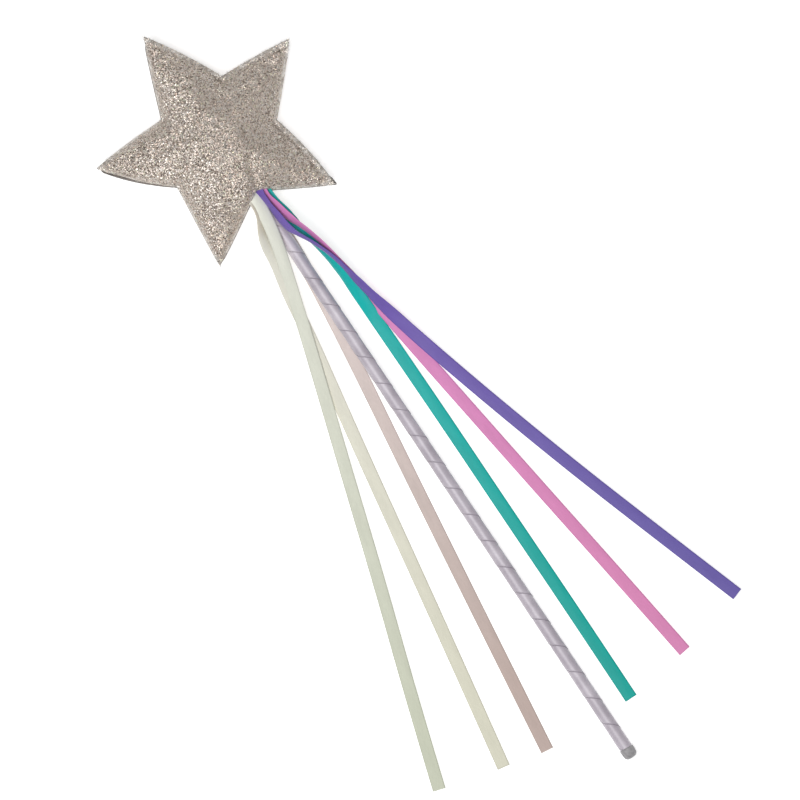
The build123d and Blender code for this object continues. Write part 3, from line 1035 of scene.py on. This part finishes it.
def scattered_flakes():
    """Flakes on both sheets, spread by area."""
    mesh = bmesh.new()
    for side in (1, -1):
        places = star_places[side]
        areas = []
        total = 0.0
        for a, b, c in sheet.faces:
            total += (places[b] - places[a]).cross(places[c] - places[a]).length / 2
            areas.append(total)
        for _ in range(FLAKES):
            a, b, c = sheet.faces[min(bisect.bisect(areas, random.uniform(0, total)), len(areas) - 1)]
            u, v = random.random(), random.random()
            if u + v > 1:
                u, v = 1 - u, 1 - v
            one, two = places[b] - places[a], places[c] - places[a]
            place = places[a] + one * u + two * v
            normal = one.cross(two).normalized() * side
            if normal.z * side < 0:
                normal = -normal
            above = place + normal * (FABRIC / 2 + FLAKE_CLEARANCE)
            flake(mesh, above, normal, random.uniform(*FLAKE_RADII))
    return mesh


def flake_material():
    graph = Graph("glitter_flakes", Roughness=0.4, Metallic=0.5)
    pick = graph.cells(graph.place(), 900.0)[1]
    return graph.grained(pick[0], [(0.0, srgb(214, 196, 182)), (0.5, srgb(240, 228, 214)),
                                   (0.75, srgb(246, 214, 196)), (0.9, srgb(222, 232, 202)),
                                   (1.0, srgb(255, 240, 205))])


finished("glitter_flakes", scattered_flakes(), flake_material(), None)


FRAYED_THREADS = 900


def frayed_edge():
    """Short loose threads along the cut edge of both sheets."""
    mesh = bmesh.new()
    rim = [i for i in sheet.flange if sheet.nearest[i][2] > ALLOWANCES[sheet.nearest[i][0]] * 0.75]
    for _ in range(FRAYED_THREADS):
        index = random.choice(rim)
        side = random.choice((1, -1))
        base = star_places[side][index]
        inward = star_places[side][sheet.nearest[index][3]]
        out = (base - inward).normalized()
        along = out.cross(Vector((0, 0, 1)))
        base = base + along * random.uniform(-0.7, 0.7)
        reach = random.uniform(0.35, 1.05)
        lean = along * random.uniform(-0.6, 0.6) + Vector((0, 0, random.uniform(-0.5, 0.6)))
        points = [base - out * 0.4, base + out * reach * 0.5 + lean * 0.2, base + out * reach + lean * 0.6]
        tube(mesh, points, [0.09, 0.07, 0.03], 4)
    return mesh


backing = noisy("frayed_backing", 800.0, srgb(182, 174, 166), srgb(232, 228, 222),
                Roughness=0.8, Sheen_Weight=0.3)
finished("frayed_cut_edge", frayed_edge(), backing, None)

fibre = noisy("polyester_fibre", 700.0, srgb(215, 215, 212), srgb(246, 246, 244), 5.0, 2.5, 0.5,
              Roughness=0.95, Sheen_Weight=0.3, Specular_IOR_Level=0.2)
stuffing = new_object("star_stuffing", filling_mesh(), fibre, "wand")
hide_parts("star_filling")


# --- rod's folded end, and the CAD pieces that stay ---
FOLD_PLEATS = 7
FOLD_RADIUS = 3.8
FOLD_AROUND = 56
# Distance from the rod's end, and share of the radius there.
FOLD_PROFILE = [(6.1, 1.0), (6.0, 1.05), (5.2, 1.07), (3.8, 1.06), (2.6, 1.03), (1.7, 0.97), (1.0, 0.87),
                (0.5, 0.73), (0.15, 0.54), (0.02, 0.36), (0.1, 0.2), (0.3, 0.08)]


def folded_end():
    """The wrap's end, turned over the rod's end and gathered into pleats that meet in the middle."""
    mesh = bmesh.new()
    side = Vector((1, 0, 0))
    up = side.cross(ROD_AXIS)
    rings = []
    for level, (distance, share) in enumerate(FOLD_PROFILE):
        ring = []
        for step in range(FOLD_AROUND):
            angle = 2 * math.pi * step / FOLD_AROUND
            pleat = math.sin(FOLD_PLEATS * angle + 0.5 * math.sin(2 * angle)) * (0.10 if level > 4 else 0.04)
            crumple = 0.10 * noise.noise(Vector((math.cos(angle) * 2, math.sin(angle) * 2, distance / 2)))
            radius = FOLD_RADIUS * share * (1 + pleat * 0.35) + crumple - 0.12
            slant = 0.35 * math.sin(angle - 0.8) if level < 2 else 0
            place = ROD_FOOT / MM + ROD_AXIS * (distance + slant)
            place += (side * math.cos(angle) + up * math.sin(angle)) * radius
            place.z = max(place.z, 0.02)
            ring.append(mesh.verts.new(place))
        rings.append(ring)
    skin(mesh, rings)
    return mesh


def birch():
    graph = Graph("birch_dowel", Roughness=0.6)
    stretched = graph.node("Mapping", Vector=graph.place(), Scale=(700.0, 30.0, 700.0)).outputs[0]
    grain = graph.noise(1.0, stretched, Detail=6.0, Distortion=0.6)
    return graph.grained(grain, [(0.3, srgb(196, 164, 122)), (0.7, srgb(224, 198, 158))], 0.1)


grey_satin = noisy("grey_satin_end", 700.0, srgb(140, 138, 140), srgb(166, 164, 166), detail=4.0,
                   relief=0.05, Roughness=0.45, Sheen_Weight=0.15, Specular_IOR_Level=0.4)
finished("rod_folded_end", folded_end(), grey_satin, "rod_end_fold")

glue = noisy("set_hot_melt_glue", 300.0, srgb(222, 214, 190), srgb(240, 234, 216), detail=3.0,
             relief=0.3, Roughness=0.25, Transmission_Weight=0.4, IOR=1.45)
for node, material in (("rod_core", birch()), ("glue_bead", glue)):
    shown = frame["nodes"][node].data
    shown.materials.clear()
    shown.materials.append(material)


# --- floor and lights ---
FLOOR_GLOW = 0.6  # a lit table, as a product photograph's white sweep is
FLOOR_HALF = 3.0
floor_mesh = bpy.data.meshes.new("table")
floor_corners = ((-1, -1), (1, -1), (1, 1), (-1, 1))
floor_mesh.from_pydata([(x * FLOOR_HALF, y * FLOOR_HALF, 0) for x, y in floor_corners], [], [(0, 1, 2, 3)])
floor_mesh.materials.append(noisy(
    "white_table", 600.0, (0.70,) * 3, (0.72,) * 3, Roughness=0.9, Specular_IOR_Level=0.1,
    Emission_Color=(1, 1, 1, 1), Emission_Strength=FLOOR_GLOW))
floor = add_object("table", floor_mesh)


LIGHT_PLACE = Vector((-0.35, -0.2, 1.6))
LIGHT_SIZE = 1.0
LIGHT_POWER = 22
ROOM_STRENGTH = 0.2

overhead = bpy.data.lights.new("overhead", "AREA")
overhead.shape = "SQUARE"
overhead.size = LIGHT_SIZE
overhead.energy = LIGHT_POWER
light = add_object("overhead", overhead)
light.location = LIGHT_PLACE
light.visible_camera = False
light.rotation_euler = (VIEW_MIDDLE - light.location).to_track_quat("-Z", "Y").to_euler()

world = bpy.data.worlds.new("room")
world.use_nodes = True
world.node_tree.nodes["Background"].inputs["Color"].default_value = (1, 1, 1, 1)
world.node_tree.nodes["Background"].inputs["Strength"].default_value = ROOM_STRENGTH
scene.world = world
scene.view_settings.view_transform = "Standard"
